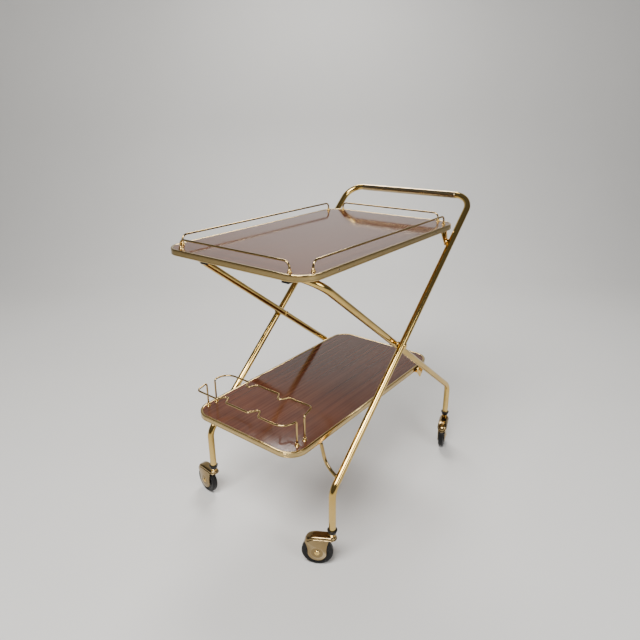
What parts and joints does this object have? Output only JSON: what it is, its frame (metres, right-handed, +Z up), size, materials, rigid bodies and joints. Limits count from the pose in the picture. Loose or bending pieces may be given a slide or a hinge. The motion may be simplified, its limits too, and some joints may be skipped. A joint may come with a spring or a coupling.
{
  "type": "folding serving trolley",
  "caption": "Folding two-tier bar cart: crossed tube frames, wood-grain trays with a wire gallery, a bottle rack, a push handle and swivel casters.",
  "frame": {"origin": "on the floor, straight under the middle of the top tray", "axes": "+X towards the push handle, +Y across towards the right-hand side seen from the front, +Z up"},
  "size_m": [0.6957, 0.4595, 0.7432],
  "materials": {
    "plated_tube": "polished gold-coloured plating",
    "plated_wire": "polished gold-coloured plating",
    "plated_fittings": "polished gold-coloured plating",
    "tray_trim": "satin pale gold channel",
    "caster_housing": "polished pressed sheet",
    "handle_sleeve": "polished browned metal sleeve",
    "wood_grain_laminate": "glossy dark red-brown wood-grain laminate",
    "tray_board": "sealed board underside",
    "dark_screws": "darkened screw heads",
    "black_plastic": "satin",
    "wheel_plastic": "moulded",
    "tyre_rubber": "smooth worn rubber"
  },
  "bodies": {
    "handle_frame": {"handle_frame": "plated_tube", "handle_grip": "handle_sleeve", "lower_tray_rest_hoop": "plated_wire", "frame_pivot_bolts": "plated_fittings", "frame_pivot_spacers": "plated_fittings", "top_hinge_pins": "plated_fittings", "front_left_caster_socket": "black_plastic", "front_right_caster_socket": "black_plastic"},
    "support_frame": {"support_frame": "plated_tube", "crossbar_rest_clips": "black_plastic", "lower_hinge_pins": "plated_fittings", "rear_left_caster_socket": "black_plastic", "rear_right_caster_socket": "black_plastic"},
    "top_tray": {"top_tray_board": "tray_board", "top_tray_laminate": "wood_grain_laminate", "top_tray_trim": "tray_trim", "top_trim_screws": "dark_screws", "left_gallery_rail": "plated_wire", "right_gallery_rail": "plated_wire", "front_gallery_rail": "plated_wire", "rear_gallery_rail": "plated_wire", "gallery_ferrules": "plated_fittings", "gallery_nuts": "plated_fittings", "top_hinge_bracket_left": "plated_fittings", "top_hinge_bracket_right": "plated_fittings", "top_bracket_screws": "dark_screws"},
    "lower_tray": {"lower_tray_board": "tray_board", "lower_tray_laminate": "wood_grain_laminate", "lower_tray_trim": "tray_trim", "lower_trim_screws": "dark_screws", "lower_ear_screws": "dark_screws", "bottle_rack_front_wire": "plated_wire", "bottle_rack_rear_wire": "plated_wire", "bottle_rack_ferrules": "plated_fittings", "bottle_rack_nuts": "plated_fittings", "lower_hinge_ear_left": "plated_fittings", "lower_hinge_ear_right": "plated_fittings"},
    "front_left_swivel": {"front_left_caster_fork": "caster_housing", "front_left_caster_stem": "plated_fittings", "front_left_wheel_axle": "plated_fittings"},
    "front_left_wheel": {"front_left_tyre": "tyre_rubber", "front_left_wheel_hub": "wheel_plastic"},
    "front_right_swivel": {"front_right_caster_fork": "caster_housing", "front_right_caster_stem": "plated_fittings", "front_right_wheel_axle": "plated_fittings"},
    "front_right_wheel": {"front_right_tyre": "tyre_rubber", "front_right_wheel_hub": "wheel_plastic"},
    "rear_left_swivel": {"rear_left_caster_fork": "caster_housing", "rear_left_caster_stem": "plated_fittings", "rear_left_wheel_axle": "plated_fittings"},
    "rear_left_wheel": {"rear_left_tyre": "tyre_rubber", "rear_left_wheel_hub": "wheel_plastic"},
    "rear_right_swivel": {"rear_right_caster_fork": "caster_housing", "rear_right_caster_stem": "plated_fittings", "rear_right_wheel_axle": "plated_fittings"},
    "rear_right_wheel": {"rear_right_tyre": "tyre_rubber", "rear_right_wheel_hub": "wheel_plastic"}
  },
  "joints": [
    {"name": "frame_fold", "type": "hinge", "parent": "handle_frame", "child": "support_frame", "pos_m": [0.05037, 0, 0.43582], "axis": [0, -1, 0], "range_deg": [0, 66]},
    {"name": "top_tray_fold", "type": "hinge", "parent": "handle_frame", "child": "top_tray", "pos_m": [0.27486, 0, 0.635], "axis": [0, -1, 0], "range_deg": [0, 26.4]},
    {"name": "lower_tray_fold", "type": "hinge", "parent": "support_frame", "child": "lower_tray", "pos_m": [0.23081, 0, 0.2977], "axis": [0, 1, 0], "range_deg": [0, 39.6]},
    {"name": "front_left_swivel", "type": "hinge", "parent": "handle_frame", "child": "front_left_swivel", "pos_m": [-0.2205, -0.19, 0.085], "axis": [0, 0, 1], "continuous": true},
    {"name": "front_left_wheel_spin", "type": "hinge", "parent": "front_left_swivel", "child": "front_left_wheel", "pos_m": [-0.237, -0.16142, 0.0355], "axis": [0.866, 0.5, 0], "continuous": true},
    {"name": "front_right_swivel", "type": "hinge", "parent": "handle_frame", "child": "front_right_swivel", "pos_m": [-0.2205, 0.19, 0.085], "axis": [0, 0, 1], "continuous": true},
    {"name": "front_right_wheel_spin", "type": "hinge", "parent": "front_right_swivel", "child": "front_right_wheel", "pos_m": [-0.21648, 0.22275, 0.0355], "axis": [0.9925, -0.1219, 0], "continuous": true},
    {"name": "rear_left_swivel", "type": "hinge", "parent": "support_frame", "child": "rear_left_swivel", "pos_m": [0.38, -0.17, 0.085], "axis": [0, 0, 1], "continuous": true},
    {"name": "rear_left_wheel_spin", "type": "hinge", "parent": "rear_left_swivel", "child": "rear_left_wheel", "pos_m": [0.34862, -0.1802, 0.0355], "axis": [-0.309, 0.9511, 0], "continuous": true},
    {"name": "rear_right_swivel", "type": "hinge", "parent": "support_frame", "child": "rear_right_swivel", "pos_m": [0.38, 0.17, 0.085], "axis": [0, 0, 1], "continuous": true},
    {"name": "rear_right_wheel_spin", "type": "hinge", "parent": "rear_right_swivel", "child": "rear_right_wheel", "pos_m": [0.35142, 0.1865, 0.0355], "axis": [0.5, 0.866, 0], "continuous": true}
  ],
  "couplings": [
    {"joint": "top_tray_fold", "follows": "frame_fold", "ratio": 0.4},
    {"joint": "lower_tray_fold", "follows": "frame_fold", "ratio": 0.6}
  ]
}
